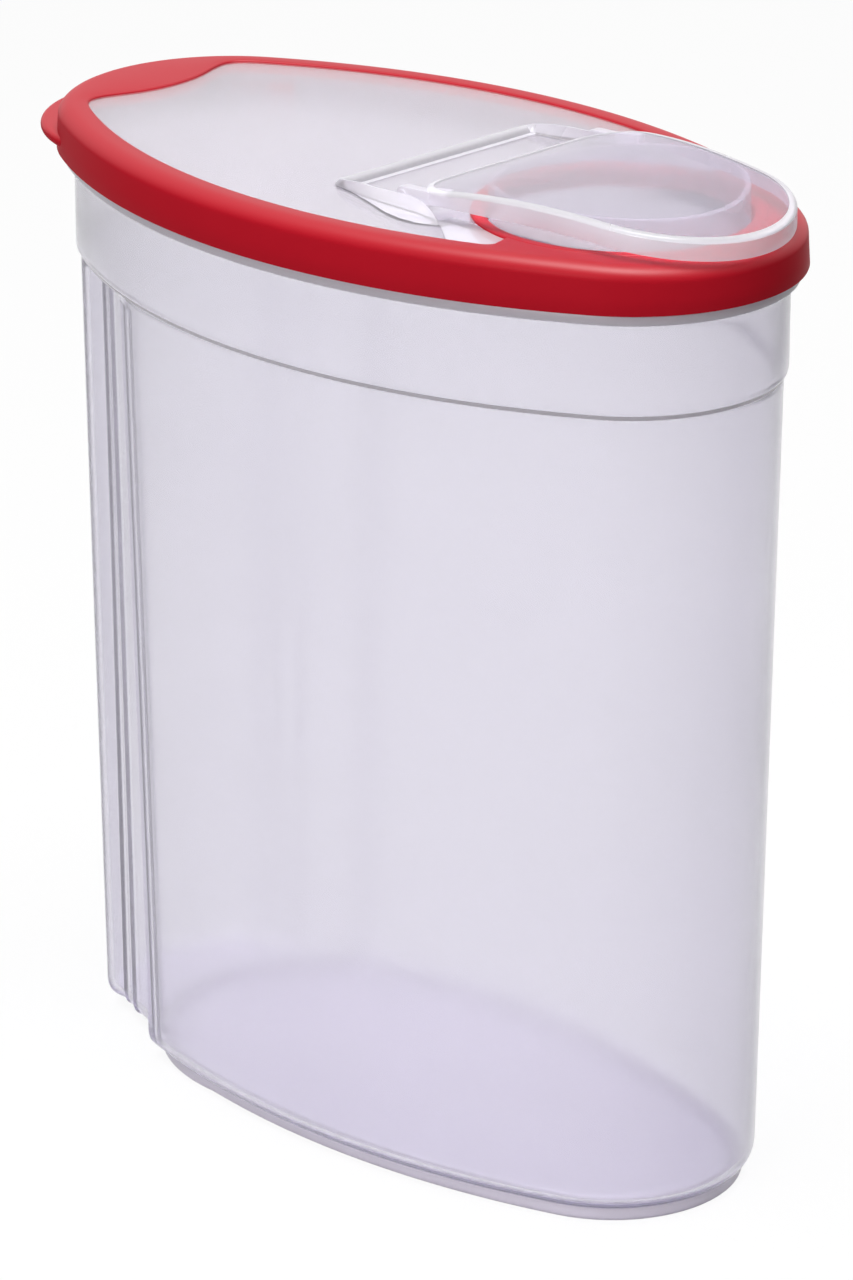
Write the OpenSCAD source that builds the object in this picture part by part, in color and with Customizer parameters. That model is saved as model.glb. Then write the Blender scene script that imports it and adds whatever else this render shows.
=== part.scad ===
// Dry food container with an oval tub, a lift-off lid and a hinged pouring cap.
// The front, with the spout, points along +X; the finger grip is at the rear, along -X.
// Sizes run from the middle of the lid's oval; the origin is on the floor, under the middle of
// the whole object, which the thumb tab makes a little longer at the rear.

/* [Oval] */
// Length of the lid rim, without its thumb tab
rim_l = 252; // [236:1:268]
// Width of the lid rim
rim_w = 140; // [130:1:150]
// Radius of the two rounded ends of the rim
rim_end_r = 48.5; // [44:0.5:54]

/* [Tub] */
// Height of the tub from the floor to the top of its mouth
tub_h = 276.2; // [220:1:320]
// Length of the tub just above its base
base_l = 231.4; // [222:0.2:236]
// Width of the tub just above its base
base_w = 110.2; // [104:0.2:120]
// Radius of the tub's rounded ends at its base
base_end_r = 41; // [36:0.5:46]
// Thickness of the tub's walls and floor
wall_t = 2; // [1.4:0.1:2.8]
// Height of the upper collar, from its lower edge to the mouth
collar_h = 38.7; // [30:0.1:60]
// How far the collar stands out from the wall below it
collar_step = 1.3; // [0.6:0.1:2.4]
// Depth of the mouth above the flange that the lid comes down to
mouth_h = 8.5; // [7:0.1:11]
// Thickness of that flange
flange_t = 3; // [2:0.1:4.5]
// How far the flange's edge stays inside the rim's outline
flange_inset = 2.2; // [1.5:0.1:3.4]
// How far the mouth's outer face lies inside the rim's outline
mouth_inset = 4.9; // [4.2:0.1:6]
// Width of the bead round the mouth that the lid clicks over
bead_w = 1.2; // [0.6:0.1:1.6]
// Radius of the tub's lower edge
base_round = 6; // [4:0.5:9]

/* [Foot] */
// Height of the foot ring
foot_h = 4; // [2.5:0.1:6]
// Width of the foot ring's wall
foot_t = 2.6; // [2:0.1:4]
// How far the foot ring stays inside the tub's lower edge
foot_inset = 3.4; // [2.5:0.1:6]
// Distance from the middle to the rear end of the foot ring
foot_rear = 91; // [80:1:96]

/* [Finger grip] */
// Distance from the middle to the front edge of the finger grips
grip_front = 68; // [60:0.5:72]
// Distance from the middle to the rear end of the finger grips
grip_rear = 104; // [102:0.5:106]
// Depth of each finger grip
grip_depth = 5.5; // [3:0.1:8]
// Height of the two ribs in each finger grip
grip_rib_h = 0.8; // [0.4:0.1:1.2]
// Distance from the middle to the first rib
grip_rib_x = 86.5; // [84:0.5:89]
// Distance between the two ribs
grip_rib_pitch = 7; // [6:0.5:8]

/* [Lid] */
// Height of the soft rim, from its lower edge to its crown
rim_h = 13.9; // [12:0.1:17]
// How far the rim's skirt leans in up to its rounded shoulder
rim_lean = 0.5; // [0:0.1:0.8]
// Height of that shoulder
shoulder_h = 4.3; // [3:0.1:6]
// Width of that shoulder
shoulder_w = 5; // [3:0.1:6]
// Thickness of the rim's skirt
rim_skirt_t = 2.2; // [1.6:0.1:2.6]
// Width of the rim's crown, from the outline to the clear panel
crown_w = 9.2; // [8.4:0.1:12]
// Thickness of the soft crown over the panel's flange
crown_t = 3.4; // [2.8:0.1:4.2]
// How far the crown falls away towards the tip of the spout
crown_fall = 2; // [0:0.1:2.4]
// Thickness of the clear panel
panel_t = 2; // [1.4:0.1:2.6]
// How far the panel lies below the crown
panel_sink = 0.6; // [0.2:0.1:1]
// Height of the panel's plug skirt inside the mouth
plug_h = 10; // [6:0.5:14]
// Thickness of the plug skirt
plug_t = 1.8; // [1.2:0.1:2.4]
// Clearance between the plug skirt and the mouth
plug_gap = 0.4; // [0.3:0.05:0.8]
// Clearance between the lid and the tub where it rests on it
seat_gap = 0.3; // [0.2:0.05:0.5]
// How far the thumb tab stands out from the rim
tab_reach = 9.7; // [6:0.1:14]
// Radius of the thumb tab
tab_r = 42.5; // [38:0.5:46]
// Thickness of the thumb tab
tab_t = 3; // [2:0.1:4]
// Height of the thumb tab above the rim's lower edge
tab_rise = 2.5; // [1.5:0.1:5]
// Reach of the press area into the panel, from the rim's rear end
press_reach = 27; // [20:0.5:34]
// Radius of the press area's edge
press_r = 48; // [40:1:60]

/* [Pour opening] */
// Distance from the middle to the centre of the pour opening
pour_x = 74; // [72:0.5:76]
// Radius of the pour opening
pour_r = 35.4; // [32:0.1:36.5]
// Width of the soft ring round the pour opening
pour_ring_w = 4.5; // [3:0.1:5]
// Depth of the ring below the crown
pour_ring_h = 7; // [5:0.5:10]

/* [Hinge well] */
// Distance from the middle to the rear step of the well
well_x = 2; // [-4:0.5:6]
// Half width of the well at its rear step
well_half = 31; // [26:0.5:33]
// How far each side of the well spreads for each millimetre forward
well_spread = 0.357; // [0.32:0.001:0.38]
// Depth of the well below the panel
well_depth = 4; // [3:0.1:5]
// Width of the sloped sides of the well
well_slope = 7; // [5:0.5:8]
// Height of the ridge along the rear step
ridge_h = 1.1; // [0.5:0.1:1.4]
// Width of that ridge
ridge_w = 3; // [2:0.1:4]

/* [Cap] */
// Height of the cap's top above the panel
cap_rise = 9.7; // [9:0.1:11]
// Thickness of the cap's top
cap_t = 1.6; // [1.2:0.1:2]
// Thickness of the cap's skirt
cap_skirt_t = 1.5; // [1.2:0.1:2]
// Height of the cap's skirt
cap_skirt_h = 5.9; // [4.5:0.1:6.2]
// Distance from the middle to the cap's straight rear edge
cap_rear = 32.5; // [32:0.1:34]
// Radius of the cap's rounded tip
cap_tip_r = 33.5; // [31:0.5:35]
// Angle between the cap's straight sides and its length
cap_side_angle = 8.4; // [6:0.1:10]
// How far the cap's top curves down at its tip
cap_fall = 4.6; // [3:0.1:5]
// How far the cap's top curves down at its rear edge
cap_rear_fall = 3.8; // [3:0.1:4]
// Radius of the cap's rear corners
cap_corner_r = 15; // [12:0.5:17]
// Thickness of the cap's plug ring
ring_t = 1.7; // [1.2:0.1:2.4]
// Clearance between the plug ring and the pour opening
ring_gap = 0.4; // [0.3:0.05:0.6]
// How far the plug ring goes down below the crown
ring_drop = 4.2; // [2:0.1:6]

/* [Hinge] */
// Distance from the middle to the hinge axis
hinge_x = 31; // [29:0.5:33]
// Height of the hinge axis above the panel
hinge_rise = 3.7; // [3.4:0.1:4.2]
// Radius of the hinge pins
pin_r = 1.75; // [1.4:0.05:2.1]
// Radial clearance of the pins in their bores
pin_gap = 0.05; // [0.03:0.01:0.1]
// Radius of the eyes round the hinge axis
eye_r = 3.4; // [3.2:0.1:3.6]
// Radius of the round ends of the cap's two ears
ear_r = 2.6; // [2.3:0.1:2.8]
// Distance from the hinge axis to the root of each ear
ear_reach = 10; // [9:0.5:11]
// Length of that root
ear_root = 6.8; // [5:0.1:8]
// Thickness of the ears
ear_t = 3; // [2.4:0.1:3.4]
// Distance from the middle to the inner face of each ear
ear_y = 35.8; // [35.6:0.1:36.2]
// Thickness of the panel's two lugs
lug_t = 3.2; // [2.6:0.1:4]
// Clearance between an ear and its lug
lug_gap = 0.4; // [0.3:0.05:0.6]

/* [Hidden] */
$fn = 96;

EPS = 0.01;
CUT = 1;
rim_a = rim_l / 2;
rim_b = rim_w / 2;
base_a = base_l / 2;
base_b = base_w / 2;

// levels, from the floor up
base_top = foot_h + base_round;
floor_top = foot_h + wall_t;
flange_top = tub_h - mouth_h;
flange_low = flange_top - flange_t;
collar_low = tub_h - collar_h;
collar_bevel = collar_step * 1.6;
rim_low = flange_top + seat_gap;
carrier_low = tub_h + seat_gap;
crown_top = rim_low + rim_h;
carrier_top = crown_top - crown_t;
panel_top = crown_top - panel_sink;
panel_low = panel_top - panel_t;
well_floor = panel_top - well_depth;
cap_top = panel_top + cap_rise;
hinge_z = panel_top + hinge_rise;
pour_ring_r = pour_r + pour_ring_w;
deck_x = pour_x - 4;
plug_inset = mouth_inset + wall_t + plug_gap;
ring_r = pour_r - ring_gap;
lug_y = ear_y + ear_t + lug_gap;

// Radius of the long side arcs of an oval with half sizes a and b and end radius r
function side_r(a, b, r) = ((a - r) * (a - r) + b * b - r * r) / (2 * (b - r));

// Half width of that oval at the distance x from its middle
function oval_y(a, b, r, x) =
    let (big = side_r(a, b, r), c = a - r, h = big - b, join = c + r * c / norm([c, h]))
    abs(x) < join ? sqrt(big * big - x * x) - h : sqrt(max(r * r - pow(abs(x) - c, 2), 0));

// Points of an oval: two end arcs joined by two long side arcs
END_STEPS = 9;
SIDE_STEPS = 20;
function oval(a, b, r) =
    let (big = side_r(a, b, r), c = a - r, h = big - b, t = atan2(h, c))
    concat(
        [for (i = [-END_STEPS:END_STEPS]) let (u = t * i / END_STEPS) [c + r * cos(u), r * sin(u)]],
        [for (i = [1:SIDE_STEPS - 1]) let (u = t + (180 - 2 * t) * i / SIDE_STEPS)
            [big * cos(u), big * sin(u) - h]],
        [for (i = [-END_STEPS:END_STEPS]) let (u = 180 + t * i / END_STEPS)
            [r * cos(u) - c, r * sin(u)]],
        [for (i = [1:SIDE_STEPS - 1]) let (u = 180 + t + (180 - 2 * t) * i / SIDE_STEPS)
            [big * cos(u), big * sin(u) + h]]
    );
function rim_oval(inset) = oval(rim_a - inset, rim_b - inset, rim_end_r - inset);

// A solid between the heights low and high over the rim's outline, drawn in by inset
module rim_prism(inset, low, high) {
    translate([0, 0, low]) linear_extrude(height = high - low) polygon(rim_oval(inset));
}

// Faces of a closed skin through rings of n points each, from the lowest ring to the last
function skin_faces(n, rings) = concat(
    [for (k = [0:rings - 2], i = [0:n - 1])
        [k * n + i, (k + 1) * n + i, (k + 1) * n + (i + 1) % n, k * n + (i + 1) % n]],
    cap_faces(n, 0, false),
    cap_faces(n, (rings - 1) * n, true)
);
// A cap of strips between the two mirrored halves of a ring, which starts at its front tip
function cap_faces(n, first, upward) =
    let (m = n / 2)
    [for (i = [0:m - 1])
        let (near = first + (n - i) % n, far = first + n - i - 1, strip = i == 0
            ? [first, first + 1, far]
            : i == m - 1 ? [near, first + i, far] : [near, first + i, first + i + 1, far])
        upward ? [for (k = [len(strip) - 1:-1:0]) strip[k]] : strip];
module skin(rings) {
    polyhedron(points = [for (ring = rings) each ring], faces = skin_faces(len(rings[0]), len(rings)));
}

// The finger grip: depth of the recess at the distance x behind the middle, from 0 to 1
GRIP_STEP = 2.2;
GRIP_BLEND = 10;
function smooth(t) = let (u = min(max(t, 0), 1)) u * u * (3 - 2 * u);
function grip_share(x, front) =
    smooth((x - front) / GRIP_STEP) * smooth((grip_rear - x) / GRIP_BLEND);

// Places along one half of the tub's outline where it gets points: the front end by angle,
// the side by even steps, then the grip with its edge and ribs, and the rear end by angle
RIB_W = 1;
REAR_STEPS = 8;
function half_places(a, front) = concat(
    [for (u = [0:4:36]) a * cos(u)],
    [for (i = [0:9]) let (from = a * cos(36) - 8) from - i * (from + front - 6) / 9],
    [for (t = [0, 0.25, 0.5, 0.75, 1]) -front - t * GRIP_STEP],
    [for (k = [0, 1]) let (x = grip_rib_x + k * grip_rib_pitch)
        each [-x + RIB_W, -x + RIB_W / 2, -x - RIB_W / 2, -x - RIB_W]],
    [for (t = [1, 0.66, 0.33, 0]) -grip_rear + t * GRIP_BLEND * 0.8],
    let (from = acos(grip_rear / a)) [for (i = [1:REAR_STEPS]) -a * cos(from * (1 - i / REAR_STEPS))]
);
function rib_at(x) =
    let (near = min(abs(x - grip_rib_x), abs(x - grip_rib_x - grip_rib_pitch)))
    near < RIB_W ? grip_rib_h : 0;

// One ring of the tub at height z: grip is 1 where the recess is full and 0 above it;
// inner rings shift the recess by the wall so that the wall keeps its thickness
function tub_ring(z, a, b, r, grip, inner = 0) =
    let (front = grip_front - inner * wall_t,
         places = half_places(a, front),
         last = len(places) - 1,
         half = [for (i = [0:last]) let (x = places[i], depth = grip * (grip_depth
             * grip_share(-x, front) - (1 - inner) * rib_at(-x)))
             [x, i == 0 || i == last ? 0 : oval_y(a, b, r, x) - depth, z]])
    concat(half, [for (i = [last - 1:-1:1]) [half[i][0], -half[i][1], z]]);

// The same ring with its wall drafted between the base and the collar
collar_inset = mouth_inset + collar_step;
function draft(z) = (z - base_top) / (collar_low - base_top);
function mix(low, high, t) = low + (high - low) * t;
function wall_ring(z, grip, inner = 0) =
    let (t = draft(z), in = inner * wall_t)
    tub_ring(z, mix(base_a, rim_a - collar_inset, t) - in, mix(base_b, rim_b - collar_inset, t) - in,
        mix(base_end_r, rim_end_r - collar_inset, t) - in, grip, inner);
function collar_ring(z, inset) = tub_ring(z, rim_a - inset, rim_b - inset, rim_end_r - inset, 0);
// Rings of the rounded lower edge, at the angle u up from the floor
EDGE_SHARE = 0.6;
function edge_ring(u, inner = 0) =
    let (round = base_round - inner * wall_t, in = inner * wall_t + round * (1 - sin(u)) * EDGE_SHARE)
    tub_ring(foot_h + inner * wall_t + round * (1 - cos(u)), base_a - in, base_b - in,
        base_end_r - in, 1, inner);

module container() {
    bead_z = mix(flange_top, tub_h, 0.5);
    GRIP_ROOF = 2;
    color([0.86, 0.86, 0.9, 0.45]) union() {
        skin([
            edge_ring(0), edge_ring(30), edge_ring(55), edge_ring(75), wall_ring(base_top, 1),
            wall_ring(collar_low - GRIP_ROOF, 1), wall_ring(collar_low, 0),
            collar_ring(collar_low + collar_bevel, mouth_inset), collar_ring(flange_low, mouth_inset),
            collar_ring(flange_low + EPS, flange_inset), collar_ring(flange_top - EPS, flange_inset),
            collar_ring(flange_top, mouth_inset), collar_ring(bead_z - bead_w, mouth_inset),
            collar_ring(bead_z, mouth_inset - bead_w), collar_ring(bead_z + bead_w, mouth_inset),
            collar_ring(tub_h - EPS, mouth_inset), collar_ring(tub_h, mouth_inset + wall_t),
            collar_ring(collar_low + collar_bevel, mouth_inset + wall_t),
            wall_ring(collar_low - wall_t, 0, 1), wall_ring(collar_low - GRIP_ROOF - wall_t, 1, 1),
            wall_ring(base_top, 1, 1), edge_ring(70, 1), edge_ring(40, 1), edge_ring(0, 1)
        ]);
        foot_ring();
    }
}

// The foot ring follows the tub's lower edge at the front and closes in behind the grips
side_extra = 1;
function foot_half(inset) =
    let (a = base_a - foot_inset - inset, b = base_b - foot_inset - side_extra - inset,
         r = base_end_r - foot_inset - inset, rear = foot_rear - inset, turn = 40)
    concat(
        [for (u = [0:5:35]) [a * cos(u), u == 0 ? 0 : oval_y(a, b, r, a * cos(u))]],
        [for (i = [0:8]) let (x = mix(a * cos(35) - 8, -turn, i / 8)) [x, oval_y(a, b, r, x)]],
        [for (u = [10:10:90]) [-turn - (rear - turn) * sin(u), oval_y(a, b, r, turn) * cos(u)]]
    );
function mirrored(half) = concat(half, [for (i = [len(half) - 2:-1:1]) [half[i][0], -half[i][1]]]);
module foot_ring() {
    linear_extrude(height = foot_h + wall_t / 2) difference() {
        polygon(mirrored(foot_half(0)));
        polygon(mirrored(foot_half(foot_t)));
    }
}

// The opening in the soft rim that the clear panel fills: the oval without the press area at
// the rear, the ring round the pour opening and the deck in front of it
module window(inset, low, high) {
    difference() {
        rim_prism(crown_w + inset, low, high);
        translate([press_reach - rim_a - press_r, 0, low - CUT])
            cylinder(r = press_r + inset, h = high - low + 2 * CUT);
        translate([pour_x, 0, low - CUT])
            cylinder(r = pour_ring_r + inset, h = high - low + 2 * CUT);
        translate([deck_x - inset, -rim_w / 2, low - CUT]) cube([rim_a, rim_w, high - low + 2 * CUT]);
    }
}

// A well with sloped sides, grown outward by grow, from its floor up to a height top
REAR_SLOPE = 0.5;
module well(grow, bottom, top) {
    front = pour_x;
    slope = well_slope / well_depth;
    function corner(z, side) = let (out = (z - well_floor) * slope + grow - well_slope,
        rear = well_x - grow + max(panel_top - z, 0) * REAR_SLOPE)
        [[rear, side * (well_half + out + (rear - well_x) * well_spread), z],
         [front, side * (well_half + out + (front - well_x) * well_spread), z]];
    low = concat(corner(bottom, -1), [corner(bottom, 1)[1], corner(bottom, 1)[0]]);
    high = concat(corner(top, -1), [corner(top, 1)[1], corner(top, 1)[0]]);
    polyhedron(points = concat(low, high), faces = [[0, 1, 2, 3], [7, 6, 5, 4], [4, 5, 1, 0],
        [5, 6, 2, 1], [6, 7, 3, 2], [7, 4, 0, 3]]);
}

module hinge_lugs() {
    for (side = [-1, 1]) translate([hinge_x, side * (lug_y + lug_t / 2), 0]) {
        translate([0, 0, hinge_z]) rotate([90, 0, 0]) cylinder(r = eye_r, h = lug_t, center = true);
        translate([-eye_r, -lug_t / 2, panel_low]) cube([2 * eye_r, lug_t, hinge_z - panel_low]);
    }
}

module lid_panel() {
    pocket = 2.4;
    flange_gap = 0.2;
    color([0.82, 0.8, 0.86, 0.5]) difference() {
        union() {
            difference() {
                union() {
                    rim_prism(rim_skirt_t + flange_gap, carrier_low, carrier_top);
                    window(0, carrier_low, panel_top);
                    rim_prism(plug_inset, carrier_low - plug_h, carrier_low + EPS);
                }
                rim_prism(plug_inset + plug_t, carrier_low - plug_h - CUT, carrier_low);
                difference() {
                    window(pocket, carrier_low - CUT, panel_low);
                    well(wall_t, carrier_low - 2 * CUT, panel_low + CUT);
                }
                intersection() {
                    window(0, carrier_low - 2 * CUT, panel_top + CUT);
                    well(0, well_floor, panel_top + CUT);
                }
            }
            intersection() {
                translate([well_x - ridge_w, -well_half - ridge_w, panel_low])
                    cube([ridge_w, 2 * (well_half + ridge_w), panel_t + ridge_h]);
                translate([well_x - ridge_w, 0, panel_top - 2 * ridge_w]) rotate([0, 45, 0])
                    cube([4 * ridge_w, rim_w, 4 * ridge_w], center = true);
            }
            hinge_lugs();
        }
        translate([pour_x, 0, carrier_low - plug_h]) cylinder(r = pour_ring_r, h = rim_h + plug_h);
        translate([hinge_x, 0, hinge_z]) rotate([90, 0, 0])
            cylinder(r = pin_r + pin_gap, h = rim_w, center = true);
    }
}

// Points of a line in the side view that curves down by fall towards the tip of the spout
function front_dip(from, to, fall, steps = 8) =
    [for (i = [0:steps]) let (t = i / steps) [mix(from, to, t), -fall * t * t]];

// The rim's outline at height z, drawn in by inset, with its points from the front tip on
function crown_ring(inset, z) = let (points = rim_oval(inset))
    [for (i = [0:len(points) - 1]) let (p = points[(i + END_STEPS) % len(points)]) [p[0], p[1], z]];

module lid_rim() {
    edge_h = 1;
    tab_x = tab_r - tab_reach - rim_a;
    color([0.72, 0.1, 0.16]) {
        difference() {
            skin(concat([crown_ring(0, rim_low)], [for (u = [0:18:90])
                crown_ring(rim_lean + shoulder_w * (1 - cos(u)), crown_top - shoulder_h * (1 - sin(u)))]));
            rim_prism(rim_skirt_t, rim_low - CUT, carrier_top);
            window(0, carrier_low, crown_top + CUT);
            translate([pour_x, 0, carrier_low]) cylinder(r = pour_r, h = rim_h);
            translate([pour_x, 0, carrier_top + edge_h])
                cylinder(r1 = pour_r, r2 = pour_ring_r - edge_h, h = crown_t - edge_h + EPS);
            translate([0, 0, crown_top]) rotate([90, 0, 0]) translate([0, 0, -rim_b])
                linear_extrude(height = rim_w)
                    polygon(concat(front_dip(pour_x, rim_a + CUT, crown_fall),
                        [[rim_a + CUT, CUT], [pour_x, CUT]]));
        }
        translate([pour_x, 0, crown_top - pour_ring_h]) difference() {
            cylinder(r = pour_ring_r, h = pour_ring_h - crown_t + edge_h);
            translate([0, 0, -CUT]) cylinder(r = pour_r, h = pour_ring_h + CUT);
        }
        translate([tab_x, 0, rim_low + tab_rise]) difference() {
            cylinder(r = tab_r, h = tab_t);
            translate([-tab_x, 0, 0]) rim_prism(rim_skirt_t, -CUT, tab_t + CUT);
        }
    }
}

// The cap's outline: a round tip, straight sides that spread to the rear and a straight rear edge
cap_tip_x = rim_a - cap_tip_r;
cap_line_x = cap_tip_x + cap_tip_r * sin(cap_side_angle);
cap_line_y = cap_tip_r * cos(cap_side_angle);
cap_corner_y = cap_line_y + (cap_line_x - cap_rear - cap_corner_r) * tan(cap_side_angle)
    - cap_corner_r / cos(cap_side_angle);
function cap_half(inset) = concat(
    [for (i = [0:12]) let (u = (90 - cap_side_angle) * i / 12)
        [cap_tip_x + (cap_tip_r - inset) * cos(u), (cap_tip_r - inset) * sin(u)]],
    [for (u = [90 - cap_side_angle:15:180])
        [cap_rear + cap_corner_r + (cap_corner_r - inset) * cos(u),
         cap_corner_y + (cap_corner_r - inset) * sin(u)]]
);
function cap_outline(inset) = let (half = cap_half(inset))
    concat(half, [for (i = [len(half) - 1:-1:1]) [half[i][0], -half[i][1]]]);

// The side view of the cap's top, which curves down to its rear edge and to its tip, and of its
// skirt, which is level at the rear
front_curve = front_dip(pour_x, rim_a + CUT, cap_fall);
rear_curve = front_dip(pour_x, cap_rear - CUT, cap_rear_fall);
top_curve = concat([for (i = [len(rear_curve) - 1:-1:1]) rear_curve[i]], front_curve);
skirt_curve = concat([[cap_rear - CUT, 0]], front_curve);

// What lies under the top, lowered by drop, and over the line of the skirt, lowered by depth
module under_top(drop, depth) {
    translate([0, rim_b, cap_top]) rotate([90, 0, 0]) linear_extrude(height = rim_w)
        polygon(concat([for (p = top_curve) p - [0, drop]],
            [for (i = [len(skirt_curve) - 1:-1:0]) skirt_curve[i] - [0, depth]]));
}
module cap_prism(inset, low, high) {
    translate([0, 0, low]) linear_extrude(height = high - low) polygon(cap_outline(inset));
}

// One ear: a round end on the hinge axis that widens to its root inside the cap's corner
module ear() {
    root_low = cap_top - cap_skirt_h;
    function root_high(x) = cap_top - cap_t / 2 - cap_rear_fall * pow((pour_x - x) / (pour_x - cap_rear), 2);
    hull() {
        translate([hinge_x, 0, hinge_z]) rotate([90, 0, 0])
            cylinder(r = ear_r, h = ear_t, center = true, $fn = 32);
        for (x = [hinge_x + ear_reach, hinge_x + ear_reach + ear_root])
            translate([x - EPS, -ear_t / 2, root_low]) cube([EPS, ear_t, root_high(x) - root_low]);
    }
}

module spout_cap() {
    pin_extra = 0.4;
    below = crown_top - ring_drop;
    color([0.82, 0.78, 0.84, 0.55]) {
        difference() {
            intersection() {
                cap_prism(0, below, cap_top + CUT);
                under_top(0, cap_skirt_h);
            }
            intersection() {
                cap_prism(cap_skirt_t, below, cap_top + CUT);
                under_top(cap_t, cap_skirt_h + CUT);
            }
        }
        intersection() {
            difference() {
                translate([pour_x, 0, below]) cylinder(r = ring_r, h = cap_top - below);
                translate([pour_x, 0, below - CUT]) cylinder(r = ring_r - ring_t, h = cap_top);
            }
            under_top(cap_t / 2, cap_top - below);
        }
        for (side = [-1, 1]) translate([0, side * (ear_y + ear_t / 2), 0]) {
            ear();
            translate([hinge_x, side * (ear_t / 2 + (lug_gap + lug_t) / 2), hinge_z]) rotate([90, 0, 0])
                cylinder(r = pin_r, h = lug_gap + lug_t + pin_extra, center = true);
        }
    }
}

// Puts a piece over the origin, under the middle of the whole object
module place() {
    translate([tab_reach / 2, 0, 0]) children();
}

place() container();
place() lid_panel();
place() lid_rim();
place() spout_cap();
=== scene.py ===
"""Oval kitchen container with a red-rimmed lid and a clear pouring cap."""
import math

import bmesh
import bpy
import numpy as np
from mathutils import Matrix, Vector

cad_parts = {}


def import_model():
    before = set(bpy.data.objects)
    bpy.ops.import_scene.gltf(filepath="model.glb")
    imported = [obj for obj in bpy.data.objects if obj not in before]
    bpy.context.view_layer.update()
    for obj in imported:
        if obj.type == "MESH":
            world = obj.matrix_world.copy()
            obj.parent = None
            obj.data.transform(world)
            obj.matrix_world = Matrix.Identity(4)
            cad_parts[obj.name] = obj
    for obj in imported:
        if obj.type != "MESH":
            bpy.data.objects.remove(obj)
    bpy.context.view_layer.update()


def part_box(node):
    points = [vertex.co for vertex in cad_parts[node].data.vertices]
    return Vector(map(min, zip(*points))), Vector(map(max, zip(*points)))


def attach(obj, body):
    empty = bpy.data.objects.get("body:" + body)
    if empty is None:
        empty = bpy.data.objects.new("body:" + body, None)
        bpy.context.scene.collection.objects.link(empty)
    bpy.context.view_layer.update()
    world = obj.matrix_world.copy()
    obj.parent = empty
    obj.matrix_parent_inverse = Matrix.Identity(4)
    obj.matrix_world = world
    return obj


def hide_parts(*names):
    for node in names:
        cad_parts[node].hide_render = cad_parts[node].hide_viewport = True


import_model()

# Sizes below are in millimetres from the middle of the lid's oval; MIDDLE moves them to the frame
MM = 0.001
RIM_A = 126.0
RIM_B = 70.0
RIM_END_R = 48.5
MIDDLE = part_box("lid_rim")[1][0] / MM - RIM_A

# Levels from the floor up
FOOT_H = 4.0
WALL = 2.0
BASE_ROUND = 6.0
TUB_H = 276.2
COLLAR_LOW = 237.5
FLANGE_TOP = 267.7
FLANGE_LOW = 264.7
RIM_LOW = 268.0
CROWN_TOP = 281.9
PANEL_TOP = 281.3
PANEL_LOW = 279.3
CAP_TOP = 291.0
HINGE_X = 31.0
HINGE_Z = 285.0
# Distance across from the middle to the inner sides of the cap's ears
EAR_Y = 35.8

# Outlines
BASE_A = 115.7
BASE_B = 55.1
BASE_END_R = 41.0
MOUTH_INSET = 4.9
COLLAR_INSET = 6.2
FLANGE_INSET = 2.2
CROWN_W = 9.2
POUR_X = 74.0
POUR_R = 35.4


# Shared geometry

def smooth(t):
    """A step from 0 to 1 that starts and ends level."""
    t = np.clip(t, 0.0, 1.0)
    return t * t * (3.0 - 2.0 * t)


def side_radius(a, b, r):
    """Radius of the side arcs that join end arcs of radius r on an oval of half sizes a and b."""
    return ((a - r) ** 2 + b * b - r * r) / (2.0 * (b - r))


def oval_y(a, b, r, x):
    """Half width of that oval at x: on the side arc up to the end arc, then on the end arc."""
    big = side_radius(a, b, r)
    c = a - r
    h = big - b
    join = c + r * c / np.hypot(c, h)
    side = np.sqrt(np.maximum(big * big - x * x, 0.0)) - h
    end = np.sqrt(np.maximum(r * r - (np.abs(x) - c) ** 2, 0.0))
    return np.where(np.abs(x) < join, side, end)


def oval_loop(a, b, r, per_end=90, per_side=150):
    """Points and outward normals round the oval: each arc is a centre plus its radius times a
    direction."""
    big = side_radius(a, b, r)
    c = a - r
    h = big - b
    t = math.atan2(h, c)
    ends = np.linspace(-t, t, per_end, endpoint=False)
    sides = np.linspace(t, math.pi - t, per_side, endpoint=False)
    angle = np.concatenate([ends, sides, ends + math.pi, sides + math.pi])
    radius = np.concatenate([np.full(per_end, r), np.full(per_side, big)] * 2)
    end_x = np.full(per_end, c)
    side_y = np.full(per_side, h)
    x0 = np.concatenate([end_x, np.zeros(per_side), -end_x, np.zeros(per_side)])
    y0 = np.concatenate([np.zeros(per_end), -side_y, np.zeros(per_end), side_y])
    normal = np.stack([np.cos(angle), np.sin(angle)], 1)
    return np.stack([x0, y0], 1) + radius[:, None] * normal, normal


def grid_faces(rows, columns, wrap_rows, wrap_columns):
    """Quads between neighbouring rows and columns of a grid, closed round where it wraps."""
    i = np.arange(rows if wrap_rows else rows - 1)
    j = np.arange(columns if wrap_columns else columns - 1)
    i, j = np.meshgrid(i, j, indexing="ij")
    down = (i + 1) % rows
    right = (j + 1) % columns
    corners = [i * columns + j, i * columns + right, down * columns + right, down * columns + j]
    return np.stack(corners, -1).reshape(-1, 4)


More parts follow.
